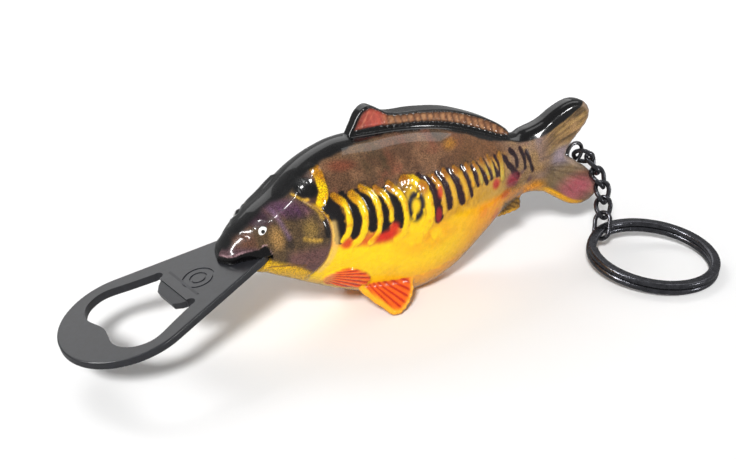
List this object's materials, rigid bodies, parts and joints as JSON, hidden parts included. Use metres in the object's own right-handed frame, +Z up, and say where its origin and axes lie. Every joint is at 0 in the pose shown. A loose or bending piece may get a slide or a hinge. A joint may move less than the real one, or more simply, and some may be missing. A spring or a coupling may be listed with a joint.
{
  "type": "bottle opener",
  "caption": "Carp-shaped bottle opener: flat metal opener plate held in a moulded fish grip, with a short curb chain and a double-coil key ring at the tail.",
  "frame": {"origin": "centre of the base of the whole object as it lies on a table", "axes": "+Z up, +X along the fish from its mouth to its tail, -Y the fish's left flank"},
  "size_m": [0.1366, 0.0494, 0.0419],
  "materials": {
    "black_steel": "satin black coating on pressed steel",
    "lacquered_body": "printed fish colours under clear lacquer",
    "eye": "glossy white dome with a black pupil",
    "black_nickel": "black nickel plated steel wire"
  },
  "bodies": {
    "opener": {"opener_plate": "black_steel", "body_left_half": "lacquered_body", "body_right_half": "lacquered_body", "left_eye": "eye", "right_eye": "eye", "tail_eyelet": "black_nickel"},
    "jump_ring": {"jump_ring": "black_nickel"},
    "chain_link_1": {"chain_link_1": "black_nickel"},
    "chain_link_2": {"chain_link_2": "black_nickel"},
    "chain_link_3": {"chain_link_3": "black_nickel"},
    "chain_link_4": {"chain_link_4": "black_nickel"},
    "connecting_link": {"connecting_link": "black_nickel"},
    "split_ring": {"split_ring": "black_nickel"}
  },
  "joints": [
    {"name": "jump_ring_swing", "type": "hinge", "parent": "opener", "child": "jump_ring", "pos_m": [0.05198, 0.01238, 0.0191], "axis": [0.0779, 0.6723, -0.7362], "range_deg": [-10, 2]},
    {"name": "chain_link_1_swing", "type": "hinge", "parent": "jump_ring", "child": "chain_link_1", "pos_m": [0.05492, 0.01032, 0.01753], "axis": [0.0779, 0.6723, -0.7362], "range_deg": [-14, 6]},
    {"name": "chain_link_2_swing", "type": "hinge", "parent": "chain_link_1", "child": "chain_link_2", "pos_m": [0.05536, 0.00855, 0.01475], "axis": [0.1809, 0.8423, -0.5078], "range_deg": [-12, 8]},
    {"name": "chain_link_3_swing", "type": "hinge", "parent": "chain_link_2", "child": "chain_link_3", "pos_m": [0.05504, 0.00609, 0.01239], "axis": [0.7041, 0.4785, -0.5247], "range_deg": [-10, 10]},
    {"name": "chain_link_4_swing", "type": "hinge", "parent": "chain_link_3", "child": "chain_link_4", "pos_m": [0.05383, 0.00439, 0.00966], "axis": [0.7995, 0.3043, -0.5179], "range_deg": [-10, 10]},
    {"name": "connecting_link_swing", "type": "hinge", "parent": "chain_link_4", "child": "connecting_link", "pos_m": [0.05242, 0.00279, 0.00701], "axis": [0.8851, 0.0181, -0.465], "range_deg": [-10, 10]},
    {"name": "split_ring_swing", "type": "hinge", "parent": "connecting_link", "child": "split_ring", "pos_m": [0.05123, 0.00169, 0.00497], "axis": [-0.9711, -0.2385, 0], "range_deg": [-35, 40]}
  ]
}
